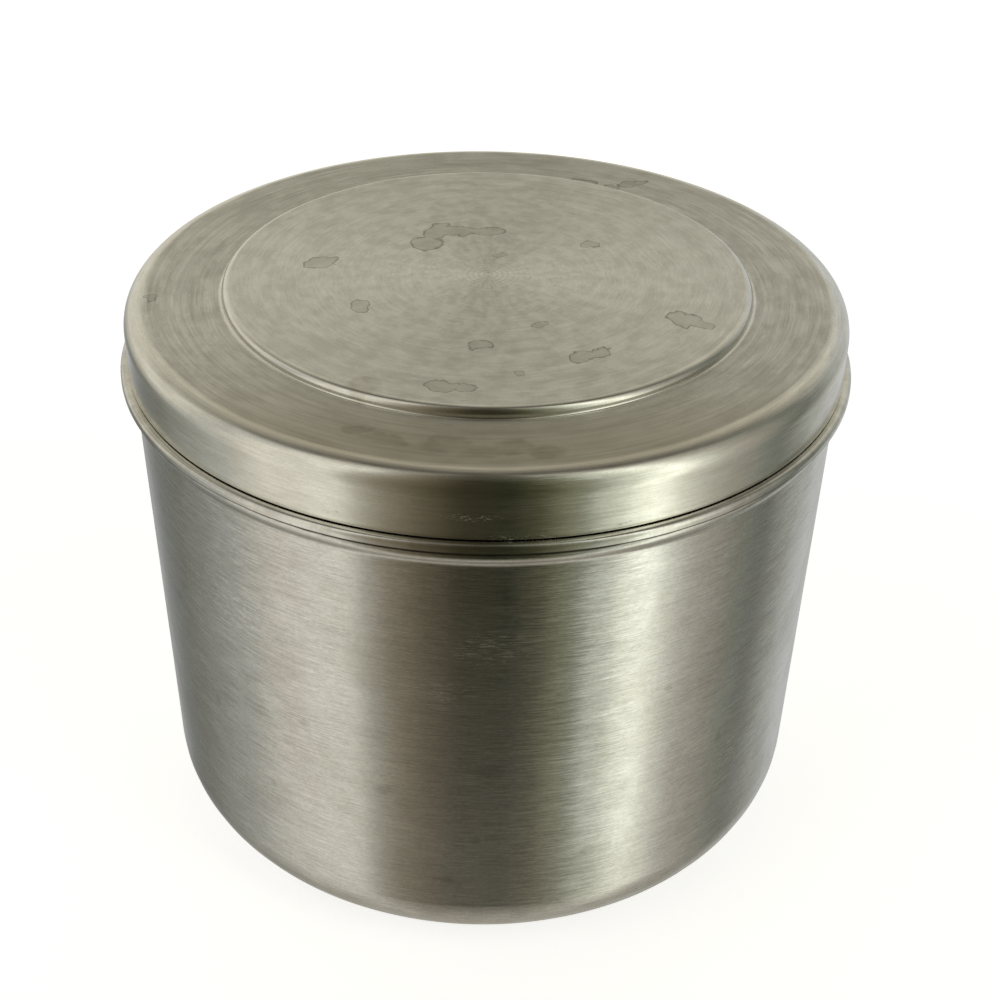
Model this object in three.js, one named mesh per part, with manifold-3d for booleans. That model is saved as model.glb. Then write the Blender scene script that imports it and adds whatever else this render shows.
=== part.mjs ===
// A round stainless steel spice box. Millimetres, +Z up, origin in the middle of the resting face.
// A deep pot and a rim strip seamed onto it, a push-on lid, and inside them seven cups, the plate
// that covers the cups with its ring handle, and two spoons.
import * as THREE from 'three';
import { mergeVertices } from 'three/addons/utils/BufferGeometryUtils.js';
import Module from 'manifold-3d';

const wasm = await Module();
wasm.setup();

// Driving dimensions.
const sheet = 0.6;             // thickness of the steel of the pot, rim, lid and inner lid
const seat = 0.3;              // gap left where one piece rests on another

const bodyRadius = 98.7;       // outside of the pot's wall, just under the bead
const wallDraw = 3;            // how much narrower the wall is where it meets the bottom corner
const wallHeight = 137;        // resting face to the start of the bead's fillet
const cornerRadius = 19;       // rounding between floor and wall
const beadRadius = 2.6;        // section of the bead rolled into the wall
const beadProud = 1.9;         // how far the bead's crest stands out of the wall
const filletRadius = 2.5;      // hollow curve from the wall out to the bead
const flangeRise = 3.1;        // bead's centre to the underside of the pot's flange
const flangeProud = 2.2;       // how far the flange reaches out of the wall

const neckProud = 0.2;         // neck's outside beyond the pot's wall
const neckBelow = 0.4;         // neck's top edge below the start of the lid's shoulder
const ledgeFillet = 0.4;       // hollow curve between neck and ledge
const foldRadius = 1.3;        // outside rounding of the strip where it folds down over the flange
const foldDrop = 1.2;          // straight raw edge below that rounding
const foldGap = 0.65;          // between the flange's edge and the fold

const lidGap = 0.5;            // between neck and skirt
const lidHeight = 17.1;        // skirt's lower edge to the flat ring
const shoulderRadius = 5.5;
const discRadius = 71.2;       // flat top of the raised disc
const discRise = 2.75;         // disc above the flat ring
const browRadius = 2.1;        // rounding at the top of the step
const browFillet = 0.6;        // hollow curve at the foot of the step

const cupTop = 16;             // cups' rims below the start of the bead's fillet
const cupSheet = 0.5;
const cupSideGap = 2.9;        // between the outer cups and the wall
const cupGap = 0.6;            // between neighbouring cups
const cupCorner = 12;          // rounding between a cup's floor and wall
const cupBead = 1.1;           // section of the rolled rim
const outerCups = 6;

const plateGap = 0.7;          // between the inner lid and the wall
const plateLip = 3;            // height of its turned-up edge
const plateCorner = 2;         // outside rounding under that edge

const ringRadius = 14;         // handle ring, middle of the wire
const ringWire = 1.1;          // wire's radius
const strapWidth = 6;
const strapSheet = 0.7;
const strapFoot = 5;           // length of each foot beyond the arch

const bowlRadius = 13;         // spoon's bowl across its rim, as a radius
const bowlDepth = 7;
const spoonSheet = 0.9;
const spoonHandle = 78;        // bowl's rim to the handle's end
const spoonWidth = 6.4;
const spoonSide = 45;          // spoons' distance from the middle of the inner lid
const spoonShift = 30;         // bowl's distance from the line through the middle

const roundSteps = 48;         // sides of the large round pieces
const cupSteps = 24;           // sides of a cup

// Plain finishes: dull outside, brighter inside.
const flat = { colour: 0x9a978c, roughness: 0.36 };
const bright = { colour: 0xb4b1a6, roughness: 0.24 };

// Sizes that follow from the driving dimensions.
const footRadius = bodyRadius - wallDraw;
const floorFlat = footRadius - cornerRadius;
const beadR = bodyRadius + beadProud - beadRadius;
const filletR = bodyRadius + filletRadius;
const beadAngle = Math.acos((filletR - beadR) / (beadRadius + filletRadius));
const beadZ = wallHeight + (beadRadius + filletRadius) * Math.sin(beadAngle);
const beadEnd = Math.PI / 3;
const flangeZ = beadZ + flangeRise;
const flangeR = bodyRadius + flangeProud;
const neckR = bodyRadius + neckProud;
const ledgeZ = flangeZ + 2 * sheet + seat;
const rimR = flangeR + foldGap + sheet;
const skirtZ = ledgeZ + seat;
const skirtR = neckR + lidGap + sheet;
const ringZ = skirtZ + lidHeight;
const discZ = ringZ + discRise;
const neckTopZ = ringZ - shoulderRadius - neckBelow;

const insideAt = (z) => footRadius - sheet + wallDraw * (z - cornerRadius) / (wallHeight - cornerRadius);
const cupFloor = sheet + seat;
const cupRimZ = wallHeight - cupTop;
const cupRimR = (insideAt(cupRimZ) - cupSideGap - cupGap) / 3;
const cupPitch = 2 * cupRimR + cupGap;
const cupWallR = cupRimR - cupBead;
const cupFlat = floorFlat - cupPitch - seat;
const plateZ = cupRimZ + seat;
const plateR = insideAt(plateZ) - plateGap;
const plateTop = plateZ + sheet;
const hingeZ = plateTop + seat + ringWire;
const ringSag = ringRadius - Math.sqrt(ringRadius ** 2 - (strapWidth / 2) ** 2);
const archRadius = ringWire + ringSag + seat;

// Points of a round stretch of a section, from one angle to another.
function arc(r, z, radius, from, to, steps) {
  const points = [];
  for (let i = 0; i <= steps; i += 1) {
    const a = from + (to - from) * i / steps;
    points.push(new THREE.Vector2(r + radius * Math.cos(a), z + radius * Math.sin(a)));
  }
  return points;
}

const at = (r, z) => new THREE.Vector2(r, z);
const quarter = Math.PI / 2;

// A section in (radius, height), taken anticlockwise, turned about +Z.
function turned(section, steps) {
  return new THREE.LatheGeometry(section, steps).rotateX(quarter);
}

function steel(name, geometry, finish = flat) {
  const material = new THREE.MeshStandardMaterial({
    color: finish.colour,
    roughness: finish.roughness,
    metalness: 1,
  });
  const mesh = new THREE.Mesh(geometry, material);
  mesh.name = name;
  return mesh;
}

function toManifold(geometry) {
  const bare = geometry.clone();
  bare.deleteAttribute('normal');
  bare.deleteAttribute('uv');
  const merged = mergeVertices(bare, 1e-4);
  return new wasm.Manifold(new wasm.Mesh({
    numProp: 3,
    vertProperties: new Float32Array(merged.attributes.position.array),
    triVerts: new Uint32Array(merged.index.array),
  }));
}

function fromManifold(solid) {
  const { vertProperties, triVerts } = solid.getMesh();
  const geometry = new THREE.BufferGeometry();
  geometry.setAttribute('position', new THREE.BufferAttribute(vertProperties, 3));
  geometry.setIndex(new THREE.BufferAttribute(triVerts, 1));
  geometry.computeVertexNormals();
  return geometry;
}

// The pot: floor, bottom corner, wall, bead and the flange that the rim strip grips.
function boxBody() {
  const turn = Math.PI - beadAngle;
  const outside = [
    at(0, 0),
    ...arc(floorFlat, cornerRadius, cornerRadius, -quarter, 0, 6),
    ...arc(filletR, wallHeight, filletRadius, Math.PI, turn, 3),
    ...arc(beadR, beadZ, beadRadius, -beadAngle, beadEnd, 6),
    at(beadR + beadRadius * Math.cos(beadEnd), flangeZ),
    at(flangeR, flangeZ),
  ];
  const inside = [
    at(flangeR, flangeZ + sheet),
    at(beadR + beadRadius * Math.cos(beadEnd) - sheet, flangeZ + sheet),
    ...arc(beadR, beadZ, beadRadius - sheet, beadEnd, -beadAngle, 6),
    ...arc(filletR, wallHeight, filletRadius + sheet, turn, Math.PI, 2).slice(1),
    ...arc(floorFlat, cornerRadius, cornerRadius - sheet, 0, -quarter, 6),
    at(0, sheet),
  ];
  return steel('box_body', turned([...outside, ...inside], roundSteps));
}

// The rim strip: an upright neck, a ledge, and a fold that ends in a raw edge below the flange.
function neckRing() {
  const foldZ = ledgeZ - foldRadius;
  const section = [
    at(neckR - sheet, ledgeZ - sheet),
    ...arc(rimR - foldRadius, foldZ, foldRadius - sheet, quarter, 0, 3),
    at(rimR - sheet, foldZ - foldDrop),
    at(rimR, foldZ - foldDrop),
    ...arc(rimR - foldRadius, foldZ, foldRadius, 0, quarter, 4),
    ...arc(neckR + ledgeFillet, ledgeZ + ledgeFillet, ledgeFillet, -quarter, -2 * quarter, 2),
    at(neckR, neckTopZ),
    at(neckR - sheet, neckTopZ),
  ];
  return steel('neck_ring', turned([...section, section[0].clone()], roundSteps));
}

// The lid: skirt, shoulder, flat ring, step and raised disc, all one pressed sheet.
function lid() {
  const shell = (inset) => {
    const foot = discRadius + browRadius + browFillet;
    return [
      ...arc(skirtR - shoulderRadius, ringZ - shoulderRadius, shoulderRadius - inset, 0, quarter, 5),
      ...arc(foot, ringZ + browFillet, browFillet + inset, -quarter, -2 * quarter, 2),
      ...arc(discRadius, discZ - browRadius, browRadius - inset, 0, quarter, 3),
    ];
  };
  const section = [
    at(0, discZ - sheet),
    ...shell(sheet).reverse(),
    at(skirtR - sheet, skirtZ),
    at(skirtR, skirtZ),
    ...shell(0),
    at(0, discZ),
  ];
  return steel('lid', turned(section, roundSteps));
}

// A loose cup with a rounded foot, a slightly flared wall and a rolled rim.
function cup(name, x, y) {
  const beadCentre = cupRimZ - cupBead;
  const cornerZ = cupFloor + cupCorner;
  const section = [
    at(0, cupFloor),
    ...arc(cupFlat, cornerZ, cupCorner, -quarter, 0, 4),
    ...arc(cupWallR, beadCentre, cupBead, -quarter, quarter, 4),
    at(cupWallR - cupSheet, beadCentre),
    ...arc(cupFlat, cornerZ, cupCorner - cupSheet, 0, -quarter, 4),
    at(0, cupFloor + cupSheet),
  ];
  const mesh = steel(name, turned(section, cupSteps), bright);
  mesh.position.set(x, y, 0);
  return mesh;
}

function cups() {
  const set = [cup('cup_centre', 0, 0)];
  for (let i = 0; i < outerCups; i += 1) {
    const a = 2 * Math.PI * i / outerCups;
    set.push(cup(`cup_${i + 1}`, cupPitch * Math.cos(a), cupPitch * Math.sin(a)));
  }
  return set;
}

// The plate that lies on the cups' rims.
function innerLid() {
  const cornerZ = plateZ + plateCorner;
  const section = [
    at(0, plateZ),
    ...arc(plateR - plateCorner, cornerZ, plateCorner, -quarter, 0, 3),
    at(plateR, plateZ + plateLip),
    at(plateR - sheet, plateZ + plateLip),
    ...arc(plateR - plateCorner, cornerZ, plateCorner - sheet, 0, -quarter, 3),
    at(0, plateTop),
  ];
  return steel('inner_lid', turned(section, roundSteps), bright);
}

// An arched strap, welded down by its two feet, that holds the ring.
function handleStrap() {
  const footZ = plateTop + seat;
  const outer = archRadius + strapSheet;
  const shape = new THREE.Shape([
    at(outer + strapFoot, footZ),
    at(outer + strapFoot, footZ + strapSheet),
    at(outer, footZ + strapSheet),
    ...arc(0, hingeZ, outer, 0, Math.PI, 10),
    at(-outer, footZ + strapSheet),
    at(-outer - strapFoot, footZ + strapSheet),
    at(-outer - strapFoot, footZ),
    at(-archRadius, footZ),
    ...arc(0, hingeZ, archRadius, Math.PI, 0, 10),
    at(archRadius, footZ),
  ]);
  const strap = new THREE.ExtrudeGeometry(shape, { depth: strapWidth, bevelEnabled: false });
  strap.translate(0, 0, -strapWidth / 2);
  strap.rotateY(quarter);
  strap.rotateX(quarter);
  return steel('handle_strap', strap, bright);
}

// The wire ring lies flat towards -Y and turns about the line where it passes through the strap.
function handleRing() {
  const ring = new THREE.TorusGeometry(ringRadius, ringWire, 8, 36);
  ring.translate(0, -ringRadius, hingeZ);
  return steel('handle_ring', ring, bright);
}

// A spoon along +Y: a dished round bowl, and a flat handle that falls from its rim to the plate.
function spoon(name) {
  const sphere = (bowlRadius ** 2 + bowlDepth ** 2) / (2 * bowlDepth);
  const half = Math.asin(bowlRadius / sphere);
  const dish = turned([
    ...arc(0, sphere, sphere, -quarter, half - quarter, 4),
    ...arc(0, sphere, sphere - spoonSheet, half - quarter, -quarter, 4),
  ], cupSteps);
  const start = bowlRadius - 2 * spoonSheet;
  const end = bowlRadius + spoonHandle;
  const back = new THREE.CubicBezierCurve(
    at(start, bowlDepth - spoonSheet),
    at(start + spoonHandle / 5, bowlDepth + spoonSheet),
    at(end - spoonHandle / 2, 0),
    at(end, 0),
  );
  const under = back.getPoints(8);
  const over = under.map((p) => at(p.x, p.y + spoonSheet)).reverse();
  const handle = new THREE.ExtrudeGeometry(new THREE.Shape([...under, ...over]), {
    depth: spoonWidth,
    bevelEnabled: false,
  });
  handle.translate(0, 0, -spoonWidth / 2);
  handle.rotateY(quarter);
  handle.rotateX(quarter);
  return steel(name, fromManifold(toManifold(dish).add(toManifold(handle))), bright);
}

function spoons() {
  return [1, -1].map((side, i) => {
    const mesh = spoon(`spoon_${i + 1}`);
    mesh.position.set(-side * spoonSide, -side * spoonShift, plateTop + seat);
    mesh.rotation.z = side > 0 ? 0 : Math.PI;
    return mesh;
  });
}

const box = new THREE.Group();
box.add(
  boxBody(),
  neckRing(),
  lid(),
  innerLid(),
  handleStrap(),
  handleRing(),
  ...cups(),
  ...spoons(),
);

export default box;
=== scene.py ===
# Round stainless steel spice box with a push-on lid, shown closed on a pale floor.
# Lengths in the dictionaries are in millimetres; what is built from them is in metres.
import math

import bmesh
import bpy
from mathutils import Matrix, Vector, noise


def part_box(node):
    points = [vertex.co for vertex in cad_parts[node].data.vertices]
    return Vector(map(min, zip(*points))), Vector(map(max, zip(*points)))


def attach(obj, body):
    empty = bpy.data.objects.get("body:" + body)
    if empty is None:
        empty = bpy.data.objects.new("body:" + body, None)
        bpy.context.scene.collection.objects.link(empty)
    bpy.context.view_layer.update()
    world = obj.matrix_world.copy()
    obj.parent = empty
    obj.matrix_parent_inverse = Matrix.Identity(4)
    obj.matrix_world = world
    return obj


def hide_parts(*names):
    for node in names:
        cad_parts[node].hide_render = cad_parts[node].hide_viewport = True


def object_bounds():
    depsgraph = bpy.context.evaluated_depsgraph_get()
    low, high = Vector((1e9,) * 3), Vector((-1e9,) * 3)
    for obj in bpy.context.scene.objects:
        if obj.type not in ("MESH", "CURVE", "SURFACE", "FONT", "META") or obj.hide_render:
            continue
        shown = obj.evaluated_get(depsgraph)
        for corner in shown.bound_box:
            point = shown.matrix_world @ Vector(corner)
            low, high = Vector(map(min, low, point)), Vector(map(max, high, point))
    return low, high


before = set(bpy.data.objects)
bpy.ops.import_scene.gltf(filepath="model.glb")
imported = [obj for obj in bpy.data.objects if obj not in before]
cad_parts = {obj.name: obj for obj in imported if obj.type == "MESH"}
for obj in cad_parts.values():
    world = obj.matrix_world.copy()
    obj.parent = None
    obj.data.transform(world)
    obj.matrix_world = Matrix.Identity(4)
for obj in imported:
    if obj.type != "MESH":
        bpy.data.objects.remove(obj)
cadLow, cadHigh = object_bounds()
mm = 0.001
quarter = math.pi / 2
sharpAngle = math.radians(40)
print("frame loaded,", len(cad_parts), "parts")


def linear(hexColour):
    # sRGB hex to the linear RGBA that the shaders take
    values = []
    for i in (1, 3, 5):
        c = int(hexColour[i:i + 2], 16) / 255
        values.append(c / 12.92 if c <= 0.04045 else ((c + 0.055) / 1.055) ** 2.4)
    return (*values, 1.0)


def addNode(tree, kind, links=None, **settings):
    # one node; a link is a node or a socket to join, or a plain value for that input
    node = tree.nodes.new("ShaderNode" + kind)
    for key, value in settings.items():
        setattr(node, key, value)
    for key, value in (links or {}).items():
        if isinstance(value, bpy.types.Node):
            value = next(socket for socket in value.outputs if socket.enabled)
        if isinstance(value, bpy.types.NodeSocket):
            tree.links.new(value, node.inputs[key])
        else:
            node.inputs[key].default_value = value
    return node


def rounded(corners, arcStep=math.radians(9), edge=0.35 * mm, stride=7 * mm):
    # corners are (radius, height, rounding); straight runs get extra rings so they shade flat
    points = []
    runs = []
    for i, (r, z, size) in enumerate(corners):
        here = Vector((r, z))
        if size == 0 or i in (0, len(corners) - 1):
            runs.append([here])
            continue
        before = (Vector(corners[i - 1][:2]) - here).normalized()
        after = (Vector(corners[i + 1][:2]) - here).normalized()
        half = before.angle(after) / 2
        centre = here + (before + after).normalized() * size / math.sin(half)
        first = here + before * size / math.tan(half) - centre
        last = here + after * size / math.tan(half) - centre
        turn = first.angle_signed(last)
        steps = max(3, math.ceil(abs(turn) / arcStep))
        bend = []
        for k in range(steps + 1):
            bend.append(centre + Matrix.Rotation(-turn * k / steps, 2) @ first)
        runs.append(bend)
    for run, following in zip(runs, runs[1:] + [None]):
        points += run
        if following is None:
            continue
        gap = following[0] - run[-1]
        if gap.length < 3 * edge:
            continue
        along = gap.normalized()
        count = max(1, round((gap.length - 2 * edge) / stride))
        for k in range(count + 1):
            at = edge + (gap.length - 2 * edge) * k / count
            points.append(run[-1] + along * at)
    return points


def wavy(point, size, depth):
    # hand-spun sheet is never quite true: a slow wander of a few hundredths of a millimetre
    return (noise.noise(point / size) - 1) * depth


def spin(name, section, steps=192, centre=(0, 0), closed=False, wander=(0, 40)):
    # turns a section about a vertical line; wander is (depth, size) in millimetres
    bm = bmesh.new()
    rings = []
    for p in section:
        if p.x < 1e-7:
            rings.append([bm.verts.new((centre[0], centre[1], p.y))])
            continue
        ring = []
        for k in range(steps):
            a = 2 * math.pi * k / steps
            spot = Vector((p.x * math.cos(a), p.x * math.sin(a), p.y))
            if wander[0]:
                pull = wavy(spot, wander[1] * mm, wander[0] * mm)
                spot.x += pull * math.cos(a)
                spot.y += pull * math.sin(a)
            ring.append(bm.verts.new((centre[0] + spot.x, centre[1] + spot.y, spot.z)))
        rings.append(ring)
    pairs = list(zip(rings, rings[1:]))
    if closed:
        pairs.append((rings[-1], rings[0]))
    for low, high in pairs:
        for k in range(steps):
            n = (k + 1) % steps
            if len(low) == 1:
                bm.faces.new((low[0], high[n], high[k]))
            elif len(high) == 1:
                bm.faces.new((low[k], low[n], high[0]))
            else:
                bm.faces.new((low[k], low[n], high[n], high[k]))
    return finishMesh(name, bm)


def finishMesh(name, bm):
    bmesh.ops.recalc_face_normals(bm, faces=bm.faces)
    mesh = bpy.data.meshes.new(name)
    bm.to_mesh(mesh)
    bm.free()
    mesh.shade_smooth()
    mesh.set_sharp_from_angle(angle=sharpAngle)
    piece = bpy.data.objects.new(name, mesh)
    bpy.context.scene.collection.objects.link(piece)
    return piece


def thicken(piece, sheet, bevel, segments):
    # a formed surface gets its sheet thickness and softened edges, and both are applied
    thick = piece.modifiers.new("sheet", "SOLIDIFY")
    thick.thickness = sheet
    thick.offset = 0
    soft = piece.modifiers.new("edges", "BEVEL")
    soft.width = bevel
    soft.segments = segments
    graph = bpy.context.evaluated_depsgraph_get()
    made = bpy.data.meshes.new_from_object(piece.evaluated_get(graph))
    piece.modifiers.clear()
    piece.data = made
    piece.data.shade_smooth()
    piece.data.set_sharp_from_angle(angle=sharpAngle)


def settle(piece, node, body, material):
    # stands for a CAD part, moves with its body and takes its finish
    piece.data.materials.append(material)
    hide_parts(node)
    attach(piece, body)


def cover(node):
    # lowest height, highest height and radius of a part turned about the middle of its box
    low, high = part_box(node)
    return low.z, high.z, (high.x - low.x) / 2


def blankMaterial(name):
    material = bpy.data.materials.new(name)
    material.use_nodes = True
    material.node_tree.nodes.clear()
    return material


def turnedPlaces(tree, slope):
    # places on a piece spun about its own upright axis, all in millimetres: position, radius, and
    # a vector that runs round the axis in its first two numbers and along the section in its third
    place = addNode(tree, "TexCoord").outputs["Object"]
    inMm = addNode(tree, "VectorMath", {0: place, "Scale": 1000.0}, operation="SCALE")
    flat = addNode(tree, "VectorMath", {0: inMm, 1: (1, 1, 0)}, operation="MULTIPLY")
    radius = addNode(tree, "VectorMath", {0: flat}, operation="LENGTH")
    heading = addNode(tree, "VectorMath", {0: flat}, operation="NORMALIZE")
    height = addNode(tree, "SeparateXYZ", {0: inMm}).outputs["Z"]
    along = addNode(tree, "Math", {0: height, 1: slope, 2: radius}, operation="MULTIPLY_ADD")
    upward = addNode(tree, "CombineXYZ", {"Z": along})
    lines = addNode(tree, "VectorMath", {0: heading, 1: upward}, operation="ADD")
    return inMm, radius, lines


def drawnOut(tree, lines, spacing, turns, detail=2.0, rough=0.6):
    # noise drawn out along the tool's path: spacing in millimetres across it, turns features a radian
    scaled = addNode(tree, "VectorMath", {0: lines, 1: (turns, turns, 1 / spacing)}, operation="MULTIPLY")
    return addNode(tree, "TexNoise", {"Vector": scaled, "Scale": 1.0, "Detail": detail, "Roughness": rough})


def nearestSpot(tree, place, spots):
    # how far a place is from the nearest of some ellipses, 1 at their edge; neighbours run together
    nearest = None
    for x, y, halfLength, halfWidth, turn in spots:
        own = addNode(tree, "Mapping", {"Vector": place, "Location": (x, y, 0),
                                        "Rotation": (0, 0, math.radians(turn)),
                                        "Scale": (halfLength, halfWidth, 1)}, vector_type="TEXTURE")
        away = addNode(tree, "VectorMath", {0: own}, operation="LENGTH")
        if nearest is not None:
            away = addNode(tree, "Math", {0: away, 1: nearest, 2: 0.1}, operation="SMOOTH_MIN")
        nearest = away
    return nearest


def unrolled(tree, inMm, radius):
    # the upright wall laid flat: millimetres round from the front, then height
    parts = addNode(tree, "SeparateXYZ", {0: inMm})
    toFront = addNode(tree, "Math", {0: parts.outputs["Y"], 1: -1.0}, operation="MULTIPLY")
    angle = addNode(tree, "Math", {0: parts.outputs["X"], 1: toFront}, operation="ARCTAN2")
    across = addNode(tree, "Math", {0: angle, 1: radius}, operation="MULTIPLY")
    return addNode(tree, "CombineXYZ", {"X": across, "Y": parts.outputs["Z"]})


def scuffed(tree, wall, look, colour, rough):
    # light flecks where something hard has rubbed: the torn metal scatters light from all round
    long, tall = look["fleck"]
    flakes = addNode(tree, "VectorMath", {0: wall, 1: (1 / long, 1 / tall, 1)}, operation="MULTIPLY")
    fleck = addNode(tree, "TexNoise", {"Vector": flakes, "Scale": 1.0, "Detail": 2.0, "Distortion": 0.6})
    keen = addNode(tree, "MapRange", {0: fleck, 1: 0.56, 2: 0.70})
    near = addNode(tree, "MapRange", {0: nearestSpot(tree, wall, look["scuffs"]), 1: 1.0, 2: 0.2})
    share = addNode(tree, "Math", {0: keen, 1: near}, operation="MULTIPLY")
    colour = addNode(tree, "Mix", {0: share, 6: colour, 7: linear(look["torn"])}, data_type="RGBA")
    duller = addNode(tree, "Mix", {0: share, 2: rough, 3: 0.7})
    return colour, duller


def spunSteel(name, look):
    # 18/8 stainless sheet, spun or drawn and then brushed on a lathe: the fine rings stretch
    # highlights across themselves and make their edges ragged; handling dulls it in patches
    material = blankMaterial(name)
    tree = material.node_tree
    inMm, radius, lines = turnedPlaces(tree, look["slope"])
    # real brush lines are 0.1 mm apart, too fine to show, so they are drawn four times as coarse
    fine = drawnOut(tree, lines, look["lineSpacing"], look["lineTurns"], detail=4.0, rough=0.7)
    bands = drawnOut(tree, lines, look["bandWidth"], look["bandTurns"], detail=4.0)
    mottle = drawnOut(tree, lines, look["patchWidth"], look["patchTurns"], detail=6.0, rough=0.65)
    fineShare = addNode(tree, "MapRange", {0: fine, 1: 0.3, 2: 0.7})
    # handling leaves an even grain of tiny dull and bright spots over the brush lines
    grain = drawnOut(tree, lines, look["grainWidth"], look["grainTurns"], detail=4.0, rough=0.7)
    grain = addNode(tree, "MapRange", {0: grain, 1: 0.3, 2: 0.7, 3: 1 - look["grain"],
                                       4: 1 + look["grain"]})
    bandShare = addNode(tree, "MapRange", {0: bands, 1: 0.35, 2: 0.65})
    patchShare = addNode(tree, "MapRange", {0: mottle, 1: 0.38, 2: 0.64}, interpolation_type="SMOOTHSTEP")
    colour = addNode(tree, "Mix", {0: patchShare, 6: linear(look["light"]), 7: linear(look["dull"])},
                     data_type="RGBA")
    lineShade = addNode(tree, "Math", {0: fineShare, 1: look["lineDepth"], 2: 1 - look["lineDepth"] / 2},
                        operation="MULTIPLY_ADD")
    bandShade = addNode(tree, "Math", {0: bandShare, 1: look["bandDepth"], 2: 1 - look["bandDepth"] / 2},
                        operation="MULTIPLY_ADD")
    shade = addNode(tree, "Math", {0: lineShade, 1: bandShade}, operation="MULTIPLY")
    shade = addNode(tree, "Math", {0: shade, 1: grain}, operation="MULTIPLY")
    colour = addNode(tree, "VectorMath", {0: colour, "Scale": shade}, operation="SCALE")
    rough = addNode(tree, "Math", {0: patchShare, 1: look["roughPatch"], 2: look["rough"]},
                    operation="MULTIPLY_ADD")
    rough = addNode(tree, "Math", {0: fineShare, 1: look["roughLine"], 2: rough}, operation="MULTIPLY_ADD")
    # every brushed line leans a little its own way round the axis, so upright highlights fray
    tangent = addNode(tree, "Tangent", direction_type="RADIAL", axis="Z")
    lean = drawnOut(tree, lines, look["lineSpacing"], look["lineTurns"], detail=4.0, rough=0.7)
    lean = addNode(tree, "Math", {0: lean, 1: look["lean"], 2: -look["lean"] / 2}, operation="MULTIPLY_ADD")
    # near the axis the lean would draw a star, so it fades out there
    outward = addNode(tree, "MapRange", {0: radius, 1: look["leanFrom"], 2: look["leanTo"]})
    lean = addNode(tree, "Math", {0: lean, 1: outward}, operation="MULTIPLY")
    facing = addNode(tree, "NewGeometry").outputs["Normal"]
    leaning = addNode(tree, "VectorMath", {0: tangent, "Scale": lean}, operation="SCALE")
    leaning = addNode(tree, "VectorMath", {0: facing, 1: leaning}, operation="ADD")
    leaning = addNode(tree, "VectorMath", {0: leaning}, operation="NORMALIZE")
    # long ripples left by the roller, with the brush lines on top of them
    relief = addNode(tree, "Math", {0: bands, 1: look["ripple"], 2: fine}, operation="MULTIPLY_ADD")
    bump = addNode(tree, "Bump", {"Height": relief, "Strength": look["bump"],
                                  "Distance": look["bumpHeight"] * mm, "Normal": leaning})
    # a quarter turn lays the gloss across the brush lines
    shader = addNode(tree, "BsdfPrincipled", {
        "Base Color": colour, "Roughness": rough, "Metallic": 1.0, "Normal": bump,
        "Anisotropic": look["stretch"], "Anisotropic Rotation": 0.25, "Tangent": tangent})
    addNode(tree, "OutputMaterial", {"Surface": shader})
    parts = {"tree": tree, "inMm": inMm, "radius": radius, "lines": lines, "shader": shader,
             "colour": colour, "rough": rough, "mottle": mottle}
    return material, parts


def refinish(parts, colour, rough):
    for name, node in (("Base Color", colour), ("Roughness", rough)):
        out = next(socket for socket in node.outputs if socket.enabled)
        parts["tree"].links.new(out, parts["shader"].inputs[name])


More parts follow.
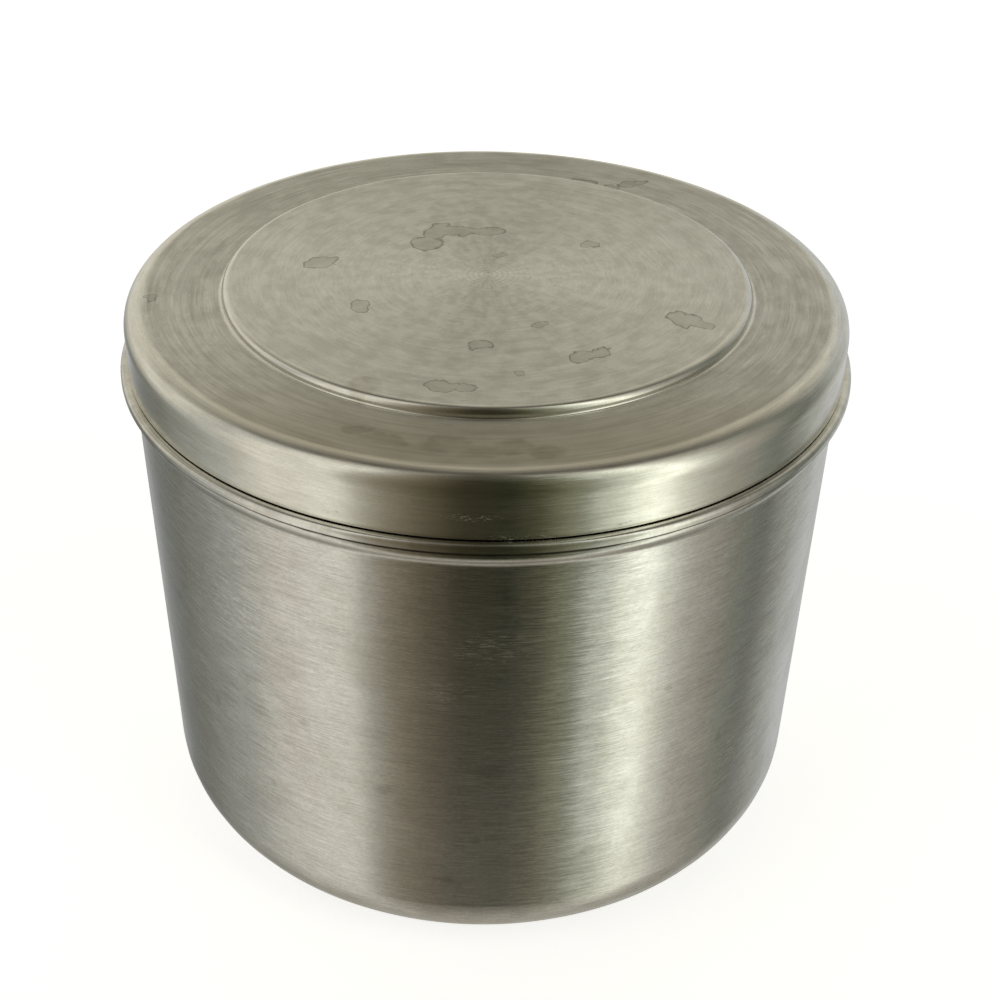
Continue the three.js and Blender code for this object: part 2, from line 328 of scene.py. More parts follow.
lidLook = {
    "light": "#d1d0c8", "dull": "#c9c7be", "slope": -1.0,
    "lineSpacing": 0.36, "lineTurns": 10.0, "lineDepth": 0.22,
    "lean": 0.05, "leanFrom": 3.0, "leanTo": 45.0,
    "bandWidth": 1.4, "bandTurns": 3.0, "bandDepth": 0.10,
    "patchWidth": 5.0, "patchTurns": 8.0,
    "grain": 0.06, "grainWidth": 0.55, "grainTurns": 110.0,
    "rough": 0.36, "roughPatch": 0.06, "roughLine": 0.05, "roughBend": 0.13, "roughShelf": 0.50,
    # the last key on the next line is a painted highlight: how much the colour is lifted where the sheet
    # was bent
    "bump": 0.15, "bumpHeight": 0.02, "ripple": 6.0, "stretch": 0.62, "burnish": 0.22,
    "torn": "#f4f2ea",
    # millimetres from the axis to the pressed disc's edge and to the foot of its step
    "discEdge": 71.0, "stepFoot": 74.0,
    # millimetres in from the skirt's face where the bend starts and where it is full
    "bendFrom": 6.2, "bendTo": 4.2,
    # long arcs scored in the flat ring
    "scoreSpacing": 0.9, "scoreTurns": 2.5, "scoreDepth": 0.12,
    # the spinning centre's rings
    "swirlPitch": 1.5, "swirlReach": 15.0, "swirlDepth": 0.07,
    # painted shade, browning the front of the flat ring, from and to these millimetres in front of the axis
    "browned": "#b2ab9b", "brownedFrom": -45.0, "brownedTo": -88.0, "brownedShare": 0.8,
    # spots are stirred this much, by noise of this size, so that no edge is a clean ellipse
    "stirDepth": 6.0, "stirSize": 5.0,
    "stainRing": "#8c887f", "stainFill": "#b3b0a6", "fillShare": 0.5,
    # drops only show above this depth below the top
    "topFade": 3.2, "topDepth": 2.9,
    # dried drops on the top: x, y, half length, half width in millimetres, turn in degrees
    "drops": (
        (-18, 19, 4.8, 4.4, 10), (-15, 28, 3.4, 6.0, -20), (-9, 28, 5.0, 3.4, 0), (-1, 28, 5.6, 2.8, 6),
        (30, 71, 4.5, 3.0, 0), (38, 68, 3.0, 1.6, 30), (45, 71, 4.5, 2.0, 20),
        (52, -25, 4.6, 3.6, -10), (57, -28, 2.6, 1.8, -40), (-2, -41, 3.0, 2.6, 30),
        (-11, -62, 4.2, 2.6, -4), (-5, -63, 3.2, 2.2, 10), (24, -46, 3.8, 2.6, 20), (29, -44, 3.6, 2.2, 35),
        (29, 20, 2.2, 2.2, 0), (-47, 6, 4.6, 3.4, 10), (14, -29, 2.0, 1.6, 0), (8, -55, 1.7, 1.5, 0),
        (3, 12, 2.2, 1.5, 0), (-34, -20, 2.4, 3.6, 20), (76, -69, 2.6, 2.0, 40), (-92, -12, 2.2, 1.6, 0),
    ),
    # greasy fingering at the front of the flat ring
    "smudges": (
        (-9, -85, 6.0, 4.4, 0), (-1, -88, 6.0, 3.0, 0), (7, -86, 5.0, 3.6, 0), (14, -88, 5, 3.4, 8),
        (-24, -83, 5.5, 2.4, -18), (-31, -79, 3.5, 2.6, 0), (-30, -62, 5, 4, 0),
    ),
    "grease": "#867b69", "greaseShare": 0.36,
    "fleck": (1.7, 0.5),
    # rubbed places on the skirt: millimetres round from the front, height, half length, half height
    "scuffs": (
        (10, 146.5, 13, 1.6, 0), (-3, 152, 9, 1.4, 0), (34, 147.5, 6, 1.0, 0), (-38, 149, 7, 1.2, 0),
    ),
}


def lidSteel():
    # pressed and spun lid, the piece that is handled and splashed: dull on top, with the rims of dried
    # drops, and smoother where the roller bent it at the step, shoulder and skirt, with a painted highlight
    # lifting the colour there
    look = lidLook
    material, parts = spunSteel("spunStainlessLid", look)
    tree, inMm, radius = parts["tree"], parts["inMm"], parts["radius"]
    _, topZ, skirtR = cover("lid")
    stir = addNode(tree, "TexNoise", {"Vector": inMm, "Scale": 1 / look["stirSize"], "Detail": 3.0})
    stir = stir.outputs["Color"]
    stir = addNode(tree, "VectorMath", {0: stir, 1: (0.5, 0.5, 0.5)}, operation="SUBTRACT")
    level = addNode(tree, "VectorMath", {0: inMm, 1: (1, 1, 0)}, operation="MULTIPLY")
    depth = (look["stirDepth"], look["stirDepth"], 0)
    stirred = addNode(tree, "VectorMath", {0: stir, 1: depth, 2: level}, operation="MULTIPLY_ADD")
    onTop = addNode(tree, "SeparateXYZ", {0: inMm}).outputs["Z"]
    onTop = addNode(tree, "MapRange", {0: onTop, 1: topZ / mm - look["topFade"],
                                       2: topZ / mm - look["topDepth"]})
    away = nearestSpot(tree, stirred, look["drops"])
    outer = addNode(tree, "MapRange", {0: away, 1: 1.08, 2: 1.0}, interpolation_type="SMOOTHSTEP")
    inner = addNode(tree, "MapRange", {0: away, 1: 0.84, 2: 0.97}, interpolation_type="SMOOTHSTEP")
    fill = addNode(tree, "Math", {0: outer, 1: onTop}, operation="MULTIPLY")
    edge = addNode(tree, "Math", {0: fill, 1: inner}, operation="MULTIPLY")
    broken = addNode(tree, "MapRange", {0: parts["mottle"], 1: 0.35, 2: 0.6, 3: 0.45, 4: 0.9})
    edge = addNode(tree, "Math", {0: edge, 1: broken}, operation="MULTIPLY")
    fill = addNode(tree, "Math", {0: fill, 1: look["fillShare"]}, operation="MULTIPLY")
    colour = addNode(tree, "Mix", {0: fill, 6: parts["colour"], 7: linear(look["stainFill"])},
                     data_type="RGBA")
    colour = addNode(tree, "Mix", {0: edge, 6: colour, 7: linear(look["stainRing"])}, data_type="RGBA")
    # painted shade: the front of the flat ring is browned all along
    frontShaded = addNode(tree, "SeparateXYZ", {0: inMm}).outputs["Y"]
    frontShaded = addNode(tree, "MapRange", {0: frontShaded, 1: look["brownedFrom"], 2: look["brownedTo"],
                                      4: look["brownedShare"]}, interpolation_type="SMOOTHSTEP")
    onRing = addNode(tree, "MapRange", {0: radius, 1: look["stepFoot"], 2: look["stepFoot"] + 3.0})
    offSkirt = addNode(tree, "MapRange", {0: radius, 1: skirtR / mm - 2.0, 2: skirtR / mm - 5.0})
    onRing = addNode(tree, "Math", {0: onRing, 1: offSkirt}, operation="MULTIPLY")
    frontShaded = addNode(tree, "Math", {0: frontShaded, 1: onRing}, operation="MULTIPLY")
    colour = addNode(tree, "Mix", {0: frontShaded, 6: colour, 7: linear(look["browned"])}, data_type="RGBA")
    # the roller has scored the flat ring in long arcs
    scored = drawnOut(tree, parts["lines"], look["scoreSpacing"], look["scoreTurns"], detail=3.0)
    scored = addNode(tree, "MapRange", {0: scored, 1: 0.3, 2: 0.7, 3: 1 - look["scoreDepth"],
                                        4: 1 + look["scoreDepth"]})
    scored = addNode(tree, "Mix", {0: onRing, 2: 1.0, 3: scored})
    colour = addNode(tree, "VectorMath", {0: colour, "Scale": scored}, operation="SCALE")
    greasy = nearestSpot(tree, stirred, look["smudges"])
    greasy = addNode(tree, "MapRange", {0: greasy, 1: 1.12, 2: 0.8, 4: look["greaseShare"]})
    greasy = addNode(tree, "Math", {0: greasy, 1: broken}, operation="MULTIPLY")
    colour = addNode(tree, "Mix", {0: greasy, 6: colour, 7: linear(look["grease"])}, data_type="RGBA")
    # the spinning centre's mark: close rings that fade out from the axis
    swirl = addNode(tree, "Math", {0: radius, 1: 2 * math.pi / look["swirlPitch"]}, operation="MULTIPLY")
    swirl = addNode(tree, "Math", {0: swirl}, operation="SINE")
    close = addNode(tree, "MapRange", {0: radius, 1: look["swirlReach"], 2: 2.0, 4: look["swirlDepth"]},
                    interpolation_type="SMOOTHSTEP")
    swirl = addNode(tree, "Math", {0: swirl, 1: close, 2: 1.0}, operation="MULTIPLY_ADD")
    colour = addNode(tree, "VectorMath", {0: colour, "Scale": swirl}, operation="SCALE")
    # duller on the flat ring and smoother where the sheet was bent, where a painted highlight also lifts
    # the colour
    shelf = addNode(tree, "MapRange", {0: radius, 1: look["discEdge"], 2: look["discEdge"] + 2.0})
    rough = addNode(tree, "Math", {0: shelf, 1: look["roughShelf"] - look["rough"], 2: parts["rough"]},
                    operation="MULTIPLY_ADD")
    bend = addNode(tree, "MapRange", {0: radius, 1: skirtR / mm - look["bendFrom"],
                                      2: skirtR / mm - look["bendTo"]}, interpolation_type="SMOOTHSTEP")
    stepIn = addNode(tree, "MapRange", {0: radius, 1: look["discEdge"], 2: look["discEdge"] + 1.0})
    stepOut = addNode(tree, "MapRange", {0: radius, 1: look["stepFoot"] + 0.3, 2: look["stepFoot"] - 0.3})
    bent = addNode(tree, "Math", {0: stepIn, 1: stepOut, 2: bend}, operation="MULTIPLY_ADD")
    rough = addNode(tree, "Math", {0: bent, 1: look["roughBend"] - look["roughShelf"], 2: rough},
                    operation="MULTIPLY_ADD")
    # painted highlight: the colour is made brighter where the sheet was bent
    paintedHighlight = addNode(tree, "Math", {0: bent, 1: look["burnish"], 2: 1.0}, operation="MULTIPLY_ADD")
    colour = addNode(tree, "VectorMath", {0: colour, "Scale": paintedHighlight}, operation="SCALE")
    colour, rough = scuffed(tree, unrolled(tree, inMm, radius), look, colour, rough)
    refinish(parts, colour, rough)
    return material


boxLook = {
    "light": "#d5d4cf", "dull": "#cbc9c2", "slope": 1.0,
    "lineSpacing": 0.36, "lineTurns": 12.0, "lineDepth": 0.46,
    "lean": 0.08, "leanFrom": 3.0, "leanTo": 45.0,
    "bandWidth": 3.2, "bandTurns": 3.0, "bandDepth": 0.08,
    "patchWidth": 22.0, "patchTurns": 5.0,
    "grain": 0.13, "grainWidth": 0.55, "grainTurns": 80.0,
    "rough": 0.13, "roughPatch": 0.04, "roughLine": 0.06,
    "bump": 0.15, "bumpHeight": 0.02, "ripple": 6.0, "stretch": 0.88,
    # short bright scratches left by the brush's ends
    "scratchSpacing": 0.5, "scratchTurns": 20.0, "scratchShare": 0.5, "torn": "#f4f2ea",
    # painted shade in the crease above the bead: where it starts below the strip, how ragged it is and how
    # fast it fades in
    "dirt": "#28241f", "dirtDrop": 2.0, "dirtRagged": 0.8, "dirtFade": 0.35,
    "stain": "#807b6d", "stainShare": 0.26, "stirDepth": 2.4, "stirSize": 2.5,
    # small dull stains on the wall: millimetres round from the front, height, half length, half height
    "stains": (
        (0, 46, 1.8, 1.3, 0), (-25, 61, 2.6, 1.8, 20), (73, 62, 1.2, 2.2, 0), (4, 72, 4.0, 2.4, 10),
        (-48, 77, 1.8, 1.2, 0), (30, 38, 1.2, 1.0, 0), (-60, 48, 1.4, 1.2, 0), (52, 90, 1.0, 1.6, 0),
        (-8, 30, 3.0, 1.4, -10), (-82, 66, 1.6, 2.0, 0), (-100, 92, 2.0, 1.4, 0), (130, 70, 3, 2, 0),
        (-160, 55, 2.4, 1.6, 0), (200, 88, 2.0, 2.6, 0), (260, 50, 1.6, 1.4, 0),
    ),
    "fleck": (4.0, 0.35),
    # rubbed places on the wall, set out in the same way
    "scuffs": (
        (2, 112, 12, 7, 0), (-12, 96, 10, 6, 0), (78, 52, 9, 7, 0), (92, 82, 8, 6, 0),
        (-70, 105, 22, 14, 0), (-52, 60, 16, 12, 0), (35, 30, 14, 8, 0),
    ),
}


def boxSteel():
    # deep-drawn stainless pot, brushed round the wall: bright and dark columns run down it, and the
    # brush's ends show as short bright scratches
    material, parts = spunSteel("drawnStainlessPot", boxLook)
    tree = parts["tree"]
    marks = drawnOut(tree, parts["lines"], boxLook["scratchSpacing"], boxLook["scratchTurns"], detail=1.0)
    keen = addNode(tree, "MapRange", {0: marks, 1: 0.68, 2: 0.78, 4: boxLook["scratchShare"]})
    colour = addNode(tree, "Mix", {0: keen, 6: parts["colour"], 7: linear(boxLook["torn"])},
                     data_type="RGBA")
    wall = unrolled(tree, parts["inMm"], parts["radius"])
    stir = addNode(tree, "TexNoise", {"Vector": wall, "Scale": 1 / boxLook["stirSize"], "Detail": 3.0})
    stir = stir.outputs["Color"]
    depth = (boxLook["stirDepth"], boxLook["stirDepth"], 0)
    stirred = addNode(tree, "VectorMath", {0: stir, 1: depth, 2: wall}, operation="MULTIPLY_ADD")
    stained = nearestSpot(tree, stirred, boxLook["stains"])
    stained = addNode(tree, "MapRange", {0: stained, 1: 1.4, 2: 0.3, 4: boxLook["stainShare"]},
                      interpolation_type="SMOOTHSTEP")
    colour = addNode(tree, "Mix", {0: stained, 6: colour, 7: linear(boxLook["stain"])}, data_type="RGBA")
    colour, rough = scuffed(tree, wall, boxLook, colour, parts["rough"])
    # painted shade in the crease above the bead and under the strip
    stripLow, _, _ = cover("neck_ring")
    ragged = addNode(tree, "Math", {0: parts["mottle"], 1: boxLook["dirtRagged"],
                                    2: stripLow / mm - boxLook["dirtDrop"]}, operation="MULTIPLY_ADD")
    over = addNode(tree, "SeparateXYZ", {0: wall}).outputs["Y"]
    over = addNode(tree, "Math", {0: over, 1: ragged}, operation="SUBTRACT")
    creaseShaded = addNode(tree, "MapRange", {0: over, 1: 0.0, 2: boxLook["dirtFade"]})
    colour = addNode(tree, "Mix", {0: creaseShaded, 6: colour, 7: linear(boxLook["dirt"])}, data_type="RGBA")
    refinish(parts, colour, rough)
    return material


# grit is specks of this size; painted shade darkens the cut edge up to these heights above the strip's foot
rimLook = dict(boxLook, light="#dddcd6", dull="#cbc9c1", rough=0.10, patchWidth=6.0, patchTurns=12.0,
               bandWidth=1.0, bandDepth=0.06, lineDepth=0.14, grain=0.08, lean=0.03, stretch=0.6,
               grit="#4a443a", gritSize=0.9, gritShare=0.7, cutEdge="#35302a", cutFull=0.2, cutEnd=0.45)


def rimSteel():
    # rolled stainless strip: a keen shine along the bend, with dust and grease as dark specks
    material, parts = spunSteel("rolledStainlessRim", rimLook)
    tree = parts["tree"]
    grit = addNode(tree, "TexNoise", {"Vector": parts["inMm"], "Scale": 1 / rimLook["gritSize"],
                                      "Detail": 3.0, "Roughness": 0.7})
    specks = addNode(tree, "MapRange", {0: grit, 1: 0.67, 2: 0.74, 4: rimLook["gritShare"]})
    colour = addNode(tree, "Mix", {0: specks, 6: parts["colour"], 7: linear(rimLook["grit"])},
                     data_type="RGBA")
    # painted shade in the crease: the cut edge at the bottom of the fold is darkened
    low, _, _ = cover("neck_ring")
    height = addNode(tree, "SeparateXYZ", {0: parts["inMm"]}).outputs["Z"]
    edgeShaded = addNode(tree, "MapRange", {0: height, 1: low / mm + rimLook["cutEnd"],
                                     2: low / mm + rimLook["cutFull"]})
    colour = addNode(tree, "Mix", {0: edgeShaded, 6: colour, 7: linear(rimLook["cutEdge"])}, data_type="RGBA")
    refinish(parts, colour, parts["rough"])
    return material


innerLook = dict(lidLook, light="#dcdbd7", dull="#cfcdc8", slope=1.0, rough=0.24, bandWidth=2.0, bump=0.2,
                 lineDepth=0.10, lean=0.08)


def innerSteel():
    # cups and inner plate, spun and buffed: brighter than the outside
    return spunSteel("buffedStainlessInner", innerLook)[0]


wireLook = {"light": "#d9d7d0", "worn": "#b9b6ae", "rough": 0.18, "roughWear": 0.14, "wearSize": 5.0,
            "markSize": 0.6, "bump": 0.12, "bumpHeight": 0.02}
spoonLook = dict(wireLook, light="#dcdad4", rough=0.14, wearSize=8.0)


def polishedSteel(name, look):
    # stamped or drawn stainless, tumbled bright: soft handling marks, no brush direction
    material = blankMaterial(name)
    tree = material.node_tree
    place = addNode(tree, "TexCoord").outputs["Object"]
    wear = addNode(tree, "TexNoise", {"Vector": place, "Scale": 1 / (look["wearSize"] * mm),
                                      "Detail": 6.0, "Roughness": 0.65, "Distortion": 1.2})
    worn = addNode(tree, "MapRange", {0: wear, 1: 0.4, 2: 0.7})
    colour = addNode(tree, "Mix", {0: worn, 6: linear(look["light"]), 7: linear(look["worn"])},
                     data_type="RGBA")
    roughness = addNode(tree, "MapRange", {0: wear, 1: 0.3, 2: 0.7, 3: look["rough"],
                                           4: look["rough"] + look["roughWear"]})
    marks = addNode(tree, "TexNoise", {"Vector": place, "Scale": 1 / (look["markSize"] * mm),
                                       "Detail": 2.0})
    bump = addNode(tree, "Bump", {"Height": marks, "Strength": look["bump"],
                                  "Distance": look["bumpHeight"] * mm})
    shader = addNode(tree, "BsdfPrincipled", {"Base Color": colour, "Roughness": roughness,
                                              "Metallic": 1.0, "Normal": bump})
    addNode(tree, "OutputMaterial", {"Surface": shader})
    return material


boxFinish = boxSteel()
rimFinish = rimSteel()
lidFinish = lidSteel()
innerFinish = innerSteel()
wireFinish = polishedSteel("drawnStainlessWire", wireLook)
spoonFinish = polishedSteel("stampedStainlessSpoon", spoonLook)
print("finishes made")

# draw is how much the wall narrows to the foot, hollow the fillet between the wall and the bead
pot = {"sheet": 0.6, "corner": 19.0, "draw": 3.0, "wallTop": 137.0, "wallRadius": 98.7, "bead": 2.6,
       "beadProud": 1.9, "hollow": 2.5, "flangeRise": 3.1, "flangeProud": 2.2, "flangeFillet": 0.3,
       "neckDrop": 1.2}


def makePot():
    v = {k: n * mm for k, n in pot.items()}
    t, fillet = v["sheet"], v["flangeFillet"]
    waist = math.radians(60)  # how far round the bead the neck leaves it
    foot = v["wallRadius"] - v["draw"]
    beadR = v["wallRadius"] + v["beadProud"] - v["bead"]
    hollowR = v["wallRadius"] + v["hollow"]
    lean = math.acos((hollowR - beadR) / (v["bead"] + v["hollow"]))
    beadZ = v["wallTop"] + (v["bead"] + v["hollow"]) * math.sin(lean)
    flangeZ = beadZ + v["flangeRise"]
    flangeR = v["wallRadius"] + v["flangeProud"]
    neckZ = flangeZ - v["neckDrop"]

    def bent(centreR, centreZ, radius, start, end, steps):
        points = []
        for k in range(steps + 1):
            a = start + (end - start) * k / steps
            points.append(Vector((centreR + radius * math.cos(a), centreZ + radius * math.sin(a))))
        return points

    waistR = beadR + v["bead"] * math.cos(waist)
    outside = rounded([(0, 0, 0), (foot, 0, v["corner"]), (v["wallRadius"], v["wallTop"], 0)])
    outside += bent(hollowR, v["wallTop"], v["hollow"], math.pi, math.pi - lean, steps=8)[1:]
    outside += bent(beadR, beadZ, v["bead"], -lean, waist, steps=18)[1:]
    outside += rounded([(waistR, neckZ, 0), (waistR, flangeZ, fillet), (flangeR, flangeZ, 0)])
    inside = rounded([(flangeR, flangeZ + t, 0), (waistR - t, flangeZ + t, fillet), (waistR - t, neckZ, 0)])
    inside += bent(beadR, beadZ, v["bead"] - t, waist, -lean, steps=14)
    inside += bent(hollowR, v["wallTop"], v["hollow"] + t, math.pi - lean, math.pi, steps=8)[1:-1]
    inside += rounded([(v["wallRadius"] - t, v["wallTop"], 0), (foot - t, t, v["corner"] - t), (0, t, 0)])
    piece = spin("pot", outside + inside, steps=256, wander=(0.05, 45))
    settle(piece, "box_body", "box", boxFinish)


makePot()

# the strip folds down over the pot's flange; neckIn is how far its neck stands inside the lid's skirt
rimStrip = {"sheet": 0.6, "fold": 1.3, "foldDrop": 1.2, "ledgeFillet": 0.4, "insideFillet": 0.05,
            "edge": 0.22, "neckIn": 1.1, "seam": 3.0, "seamStep": 0.1}


def makeRim():
    v = {k: n * mm for k, n in rimStrip.items()}
    t, e = v["sheet"], v["edge"]
    low, high, radius = cover("neck_ring")
    _, _, skirtR = cover("lid")
    ledgeZ = low + v["foldDrop"] + v["fold"]
    neckR = skirtR - v["neckIn"]
    # the section starts and ends on the neck's inner face, a seam's step apart
    section = rounded([
        (neckR - t, high - v["seam"], 0),
        (neckR - t, ledgeZ - t, v["insideFillet"]),
        (radius - t, ledgeZ - t, v["fold"] - t),
        (radius - t, low, e),
        (radius, low, e),
        (radius, ledgeZ, v["fold"]),
        (neckR, ledgeZ, v["ledgeFillet"]),
        (neckR, high, e),
        (neckR - t, high, e),
        (neckR - t, high - v["seam"] + v["seamStep"], 0),
    ])
    piece = spin("rimStrip", section, steps=256, closed=True)
    settle(piece, "neck_ring", "box", rimFinish)


makeRim()

# the brow is the rounded step from the disc down to the flat ring
lidShape = {"sheet": 0.6, "shoulder": 5.5, "disc": 71.2, "brow": 2.1, "browFoot": 0.6, "rise": 2.75,
            "edge": 0.2}


def makeLid():
    v = {k: n * mm for k, n in lidShape.items()}
    t, e = v["sheet"], v["edge"]
    low, high, radius = cover("lid")
    wallR = v["disc"] + v["brow"]
    ringZ = high - v["rise"]
    section = rounded([
        (0, high - t, 0),
        (wallR - t, high - t, v["brow"] - t),
        (wallR - t, ringZ - t, v["browFoot"] + t),
        (radius - t, ringZ - t, v["shoulder"] - t),
        (radius - t, low, e),
        (radius, low, e),
        (radius, ringZ, v["shoulder"]),
        (wallR, ringZ, v["browFoot"]),
        (wallR, high, v["brow"]),
        (0, high, 0),
    ])
    piece = spin("pressedLid", section, steps=256, wander=(0.04, 38))
    settle(piece, "lid", "lid", lidFinish)


makeLid()
print("pot, rim strip and lid made")

# foot is the flat of the cup's base as a radius; the rim curls outwards into a bead
cupShape = {"sheet": 0.5, "corner": 12.0, "bead": 1.1, "foot": 12.9}
curlTurn = 1.35 * math.pi
curlSteps = 14


def makeCup(node):
    v = {k: n * mm for k, n in cupShape.items()}
    t, bead = v["sheet"], v["bead"]
    low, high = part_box(node)
    radius = (high.x - low.x) / 2
    wallR = radius - bead
    footR = v["foot"] + v["corner"]
    z = low.z
    beadZ = high.z - bead
    section = rounded([(0, z, 0), (footR, z, v["corner"]), (wallR, high.z - 2 * bead, 0)])
    for k in range(1, curlSteps + 1):
        a = -quarter + curlTurn * k / curlSteps
        section.append(Vector((wallR + bead * math.cos(a), beadZ + bead * math.sin(a))))
    section += rounded([(wallR - t, beadZ, 0), (footR - t, z + t, v["corner"] - t), (0, z + t, 0)])
    piece = spin(node.replace("_", ""), section, steps=96, wander=(0.03, 20))
    piece.location = ((low.x + high.x) / 2, (low.y + high.y) / 2, 0)
    settle(piece, node, node, innerFinish)


for node in sorted(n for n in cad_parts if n.startswith("cup_")):
    makeCup(node)

plateShape = {"sheet": 0.6, "corner": 2.0, "edge": 0.2}


def makePlate():
    v = {k: n * mm for k, n in plateShape.items()}
    t = v["sheet"]
    low, high, radius = cover("inner_lid")
    section = rounded([
        (0, low, 0), (radius, low, v["corner"]), (radius, high, v["edge"]),
        (radius - t, high, v["edge"]), (radius - t, low + t, v["corner"] - t), (0, low + t, 0)])
    piece = spin("innerPlate", section, wander=(0.04, 30))
    settle(piece, "inner_lid", "inner_lid", innerFinish)


# the wire's own radius, and the sides of its round section
ringShape = {"wire": 1.1, "sides": 20}


def makeRing():
    wire = ringShape["wire"] * mm
    low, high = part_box("handle_ring")
    middle = (low + high) / 2
    radius = (high.x - low.x) / 2 - wire
    section = []
    for k in range(ringShape["sides"]):
        a = 2 * math.pi * k / ringShape["sides"]
        section.append(Vector((radius + wire * math.cos(a), middle.z + wire * math.sin(a))))
    piece = spin("pullRing", section, steps=96, centre=(middle.x, middle.y), closed=True)
    settle(piece, "handle_ring", "handle_ring", wireFinish)


# a strip bent into an arch over the ring, with a flat foot on each side that ends in a half round
strapShape = {"sheet": 0.7, "arch": 1.73, "foot": 5.0, "bevel": 0.18}
archSteps = 24
tipWidth = 0.35  # narrowest width of a foot's end, as a share of the strip's


def makeStrap():
    v = {k: n * mm for k, n in strapShape.items()}
    low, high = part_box("handle_strap")
    t, arch = v["sheet"], v["arch"]
    centreZ = high.z - arch - t
    path = [(-arch - t - v["foot"], low.z + t / 2), (-arch - t, low.z + t / 2)]
    for k in range(archSteps + 1):
        a = math.pi - math.pi * k / archSteps
        path.append(((arch + t / 2) * math.cos(a), centreZ + (arch + t / 2) * math.sin(a)))
    path += [(arch + t, low.z + t / 2), (arch + t + v["foot"], low.z + t / 2)]
    bm = bmesh.new()
    rows = []
    for y, z in path:
        away = abs(y) - (arch + t + v["foot"] - high.x)
        width = high.x if away < 0 else math.sqrt(max(high.x ** 2 - away ** 2, (tipWidth * high.x) ** 2))
        rows.append([bm.verts.new((width * k, y, z)) for k in (-1, -0.5, 0, 0.5, 1)])
    for a, b in zip(rows, rows[1:]):
        for k in range(4):
            bm.faces.new((a[k], a[k + 1], b[k + 1], b[k]))
    piece = finishMesh("ringStrap", bm)
    thicken(piece, t, v["bevel"], segments=3)
    settle(piece, "handle_strap", "inner_lid", wireFinish)


makePlate()
makeRing()
makeStrap()
print("cups and inner lid made")

# stem and end are half widths of the handle, which is pressed hollow by the channel's depth
spoonShape = {"bowl": 13.0, "depth": 7.0, "sheet": 0.9, "stem": 2.6, "end": 4.0, "channel": 0.5,
              "bevel": 0.2, "tip": 0.02, "weld": 0.01, "clear": 0.02}
spoonRows = 120
spoonHalf = 8  # strips on each side of the spoon's middle line
handleFrom = 0.55  # where the bowl starts to turn into the handle, and over what length, in bowl radii
handleOver = 0.9


def makeSpoon(node, side):
    # side is 1 for a handle that points back and -1 for one that points forward
    v = {k: n * mm for k, n in spoonShape.items()}
    low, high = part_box(node)
    length = high.y - low.y
    bowl, depth, t = v["bowl"], v["depth"], v["sheet"]
    ball = (bowl ** 2 + depth ** 2) / (2 * depth)
    tail = length - bowl
    bm = bmesh.new()
    rows = []
    for k in range(spoonRows + 1):
        y = -bowl + length * k / spoonRows
        inBowl = math.sqrt(max(bowl ** 2 - y ** 2, 0))
        along = min(max(y / tail, 0), 1)
        stem = v["stem"] + (v["end"] - v["stem"]) * along ** 2
        if y > tail - v["end"]:  # the handle ends in a half round
            stem *= math.sqrt(max(1 - ((y - tail + v["end"]) / v["end"]) ** 2, 0.004))
        fade = min(max((y - handleFrom * bowl) / (handleOver * bowl), 0), 1)
        fade = fade * fade * (3 - 2 * fade)
        width = max(inBowl, v["tip"]) if y < 0 else math.hypot(inBowl, stem * fade)
        # the handle falls in a soft S from the bowl's rim, and its end rests on its channel's bottom
        handleZ = depth * (1 - along) ** 2 * (1 + 2 * along) * (1 - 0.3 * along) + t / 2
        handleZ += v["channel"] * along
        row = []
        for i in range(-spoonHalf, spoonHalf + 1):
            x = width * i / spoonHalf
            dish = ball - math.sqrt(ball ** 2 - min(x * x + y * y, bowl ** 2)) + t / 2
            groove = handleZ - v["channel"] * (1 - (i / spoonHalf) ** 2) * fade
            row.append(bm.verts.new((x, y, dish * (1 - fade) + groove * fade)))
        rows.append(row)
    for a, b in zip(rows, rows[1:]):
        for i in range(2 * spoonHalf):
            bm.faces.new((a[i], a[i + 1], b[i + 1], b[i]))
    bmesh.ops.remove_doubles(bm, verts=bm.verts, dist=v["weld"])
    piece = finishMesh(node.replace("_", ""), bm)
    thicken(piece, t, v["bevel"], segments=2)
    base = low.z + v["clear"]
    bowlY = low.y + bowl if side > 0 else high.y - bowl
    turn = Matrix.Rotation(0 if side > 0 else math.pi, 4, "Z")
    piece.data.transform(turn)
    piece.location = ((low.x + high.x) / 2, bowlY, base)
    settle(piece, node, node, spoonFinish)


makeSpoon("spoon_1", 1)
makeSpoon("spoon_2", -1)
print("spoons made")

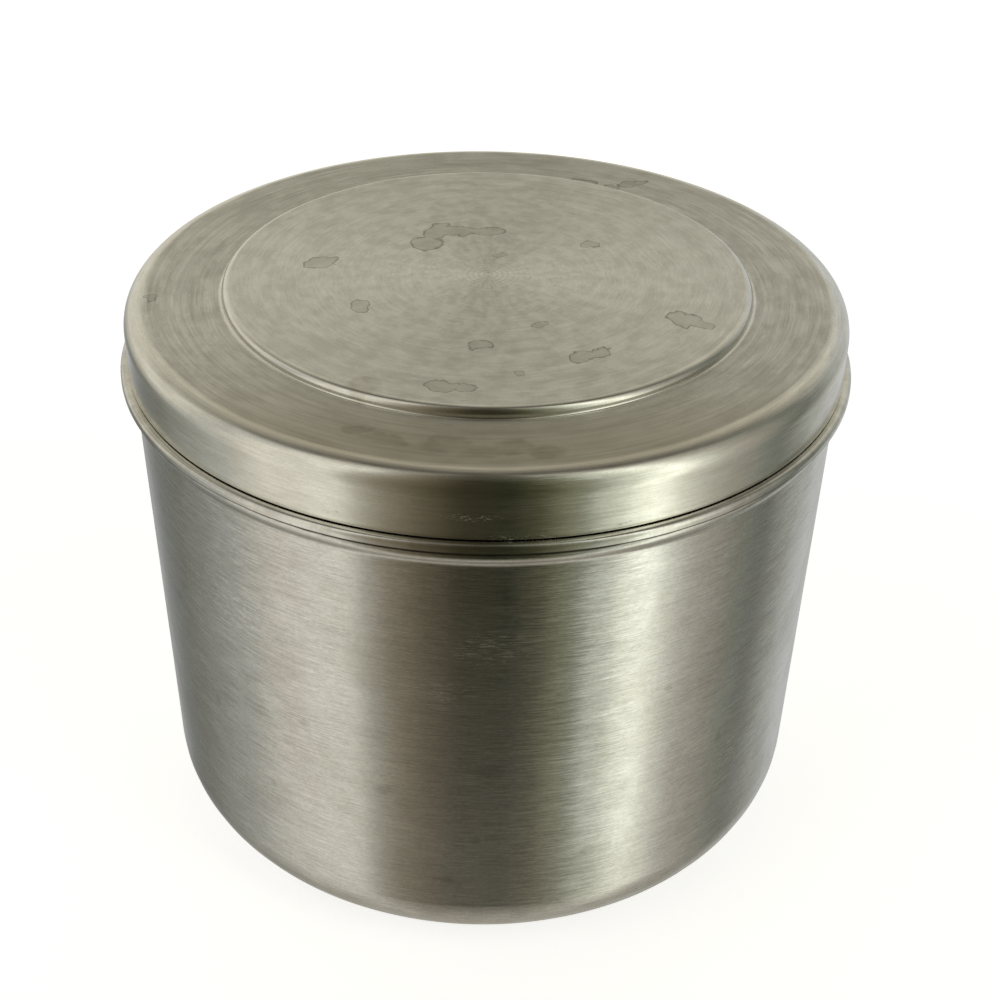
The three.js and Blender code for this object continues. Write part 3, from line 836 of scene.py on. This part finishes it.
studio = {
    "floor": "#f1f1f1", "floorGlow": 0.80, "floorRough": 0.9, "floorHalf": 6.0, "floorGap": 0.02,
    "strength": 1.75, "paleStrength": 1.25,
    # soft light all round by compass angle: 0 is in front of the box, positive to the right
    "ring": (
        (-180, "#aaa79c"), (-160, "#989899"), (-150, "#7b7c7c"), (-138, "#626461"), (-124, "#5f605a"),
        (-108, "#777773"), (-92, "#898a86"), (-72, "#b3afa7"), (-54, "#bbb9b1"), (-45, "#b7b4ab"),
        (-40, "#8d8b82"), (-31, "#6b6457"), (-20, "#4c4639"), (-8, "#2a271b"), (8, "#1f2016"),
        (18, "#3b3a2b"), (26, "#60604f"), (32, "#6e7064"), (37, "#a0a398"), (44, "#aeb0a5"),
        (47, "#d2d5c7"), (57, "#eff0e5"), (63, "#bbbcb1"), (72, "#96948c"), (84, "#7f7b73"),
        (98, "#63665f"), (107, "#585954"), (113, "#6d6e69"), (124, "#888a85"), (142, "#9d9d9d"),
        (160, "#9d9f9f"), (180, "#aaa79c"),
    ),
    # a lighter wall on the left, above the horizon, between these angles and from this height
    "leftWall": "#aeaba2", "leftFrom": -85, "leftTo": -105, "leftRise": -0.35,
    # the ceiling, by the height of the direction, from dark in front to pale at the back
    "ceilingFront": "#45423c", "ceilingBack": "#a5a297", "ceilingFrom": 0.82, "ceilingTo": 1.06,
    "backFrom": 0.1, "backTo": 0.75,
    # it comes lower behind the box than in front of it
    "ceilingDrop": 0.55, "dropFrom": -0.1, "dropTo": 0.5,
    "under": "#8c887f", "underFrom": -0.68,
}


def makeWorld():
    world = bpy.data.worlds.new("softStudio")
    bpy.context.scene.world = world
    world.use_nodes = True
    tree = world.node_tree
    tree.nodes.clear()
    way = addNode(tree, "TexCoord").outputs["Generated"]
    parts = addNode(tree, "SeparateXYZ", {0: way})
    toFront = addNode(tree, "Math", {0: parts.outputs["Y"], 1: -1.0}, operation="MULTIPLY")
    angle = addNode(tree, "Math", {0: parts.outputs["X"], 1: toFront}, operation="ARCTAN2")
    share = addNode(tree, "MapRange", {0: angle, 1: -math.pi, 2: math.pi})
    ramp = addNode(tree, "ValToRGB", {0: share})
    stops = ramp.color_ramp.elements
    stops.remove(stops[1])
    stops[0].color = linear(studio["ring"][0][1])
    for degrees, colour in studio["ring"][1:]:
        stops.new((degrees + 180) / 360).color = linear(colour)
    back = addNode(tree, "MapRange", {0: parts.outputs["Y"], 1: studio["backFrom"], 2: studio["backTo"]})
    lower = addNode(tree, "MapRange", {0: parts.outputs["Y"], 1: studio["dropFrom"], 2: studio["dropTo"],
                                       4: studio["ceilingDrop"]})
    rise = addNode(tree, "Math", {0: parts.outputs["Z"], 1: lower}, operation="ADD")
    ceiling = addNode(tree, "Mix", {0: back, 6: linear(studio["ceilingFront"]),
                                    7: linear(studio["ceilingBack"])}, data_type="RGBA")
    high = addNode(tree, "MapRange", {0: rise, 1: studio["ceilingFrom"], 2: studio["ceilingTo"]})
    low = addNode(tree, "MapRange", {0: parts.outputs["Z"], 1: studio["underFrom"], 2: -1.0})
    leftward = addNode(tree, "MapRange", {0: angle, 1: math.radians(studio["leftFrom"]),
                                          2: math.radians(studio["leftTo"])})
    raised = addNode(tree, "MapRange", {0: parts.outputs["Z"], 1: studio["leftRise"], 2: 0.0})
    leftShare = addNode(tree, "Math", {0: leftward, 1: raised}, operation="MULTIPLY")
    colour = addNode(tree, "Mix", {0: leftShare, 6: ramp.outputs["Color"], 7: linear(studio["leftWall"])},
                     data_type="RGBA")
    colour = addNode(tree, "Mix", {0: high, 6: colour, 7: ceiling}, data_type="RGBA")
    colour = addNode(tree, "Mix", {0: low, 6: colour, 7: linear(studio["under"])}, data_type="RGBA")
    glow = addNode(tree, "Background", {"Color": colour, "Strength": studio["strength"]})
    # past the floor's edge the room itself isn't seen, only a plain pale wall
    pale = addNode(tree, "Background", {"Color": linear(studio["floor"]),
                                        "Strength": studio["paleStrength"]})
    seen = addNode(tree, "LightPath").outputs["Is Camera Ray"]
    mixed = addNode(tree, "MixShader", {0: seen, 1: glow, 2: pale})
    addNode(tree, "OutputWorld", {"Surface": mixed})


def makeFloor():
    bm = bmesh.new()
    bmesh.ops.create_grid(bm, x_segments=8, y_segments=8, size=studio["floorHalf"])
    floor = finishMesh("floor", bm)
    floor.location = (0, 0, cadLow.z - studio["floorGap"] * mm)
    material = bpy.data.materials.new("paleFloor")
    material.use_nodes = True
    shader = material.node_tree.nodes["Principled BSDF"]
    shader.inputs["Base Color"].default_value = linear(studio["floor"])
    shader.inputs["Roughness"].default_value = studio["floorRough"]
    shader.inputs["Specular IOR Level"].default_value = 0.0
    shader.inputs["Emission Color"].default_value = linear(studio["floor"])
    shader.inputs["Emission Strength"].default_value = studio["floorGlow"]
    floor.data.materials.append(material)
    floor.visible_glossy = False  # the brushed wall would otherwise mirror nothing but floor


# how far back from the axis and above the lid's foot, and which way it looks, in degrees
view = {"back": 428.0, "above": 230.0, "down": 33.674, "pan": -0.579, "roll": 1.175, "lens": 61.43}


def makeCamera():
    low, _, _ = cover("lid")
    data = bpy.data.cameras.new("camera")
    data.lens = view["lens"]
    data.sensor_width = 36.0
    data.sensor_fit = "AUTO"
    data.clip_start = 0.01
    camera = bpy.data.objects.new("camera", data)
    bpy.context.scene.collection.objects.link(camera)
    pan = Matrix.Rotation(math.radians(view["pan"]), 4, "Z")
    tilt = Matrix.Rotation(quarter - math.radians(view["down"]), 4, "X")
    roll = Matrix.Rotation(math.radians(view["roll"]), 4, "Z")
    place = Matrix.Translation((0, -view["back"] * mm, low + view["above"] * mm))
    camera.matrix_world = place @ pan @ tilt @ roll
    bpy.context.scene.camera = camera


makeWorld()
makeFloor()
makeCamera()
bpy.context.scene.view_settings.view_transform = "Standard"
print("studio and camera made")
